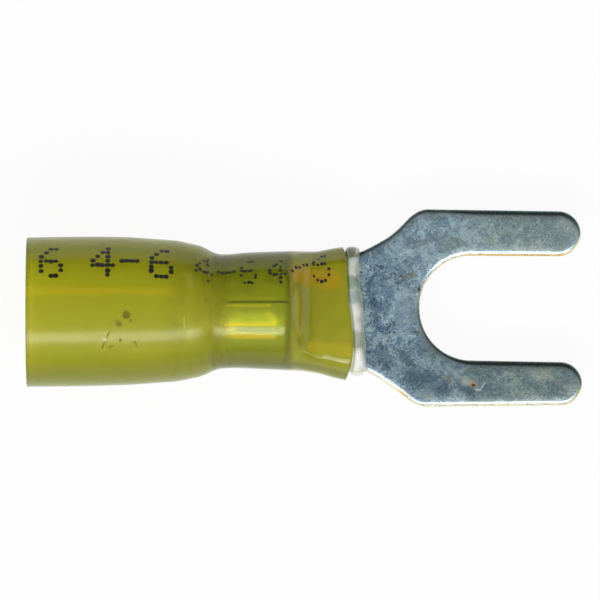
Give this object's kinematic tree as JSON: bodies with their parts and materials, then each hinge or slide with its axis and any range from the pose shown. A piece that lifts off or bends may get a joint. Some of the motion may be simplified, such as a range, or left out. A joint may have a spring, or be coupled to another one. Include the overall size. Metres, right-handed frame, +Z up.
{
  "type": "fork terminal",
  "caption": "Crimp terminal with a flat forked tongue for a stud, a rolled wire barrel and a translucent yellow heat-shrink sleeve with an adhesive lining.",
  "frame": {"origin": "stud centre in the fork's slot, on the underside of the tongue", "axes": "+X out along the tines, +Z up along the stud through the sheet, +Y across the fork"},
  "size_m": [0.028, 0.01, 0.0075],
  "materials": {
    "tinned_copper": "dull tin plate over copper, mottled and lightly scratched",
    "yellow_sleeve": "translucent yellow polyolefin with black dot-matrix print",
    "hot_melt": "milky translucent hot-melt adhesive"
  },
  "bodies": {
    "root": {"fork_and_barrel": "tinned_copper", "heat_shrink_sleeve": "yellow_sleeve", "adhesive_liner": "hot_melt"}
  },
  "joints": []
}
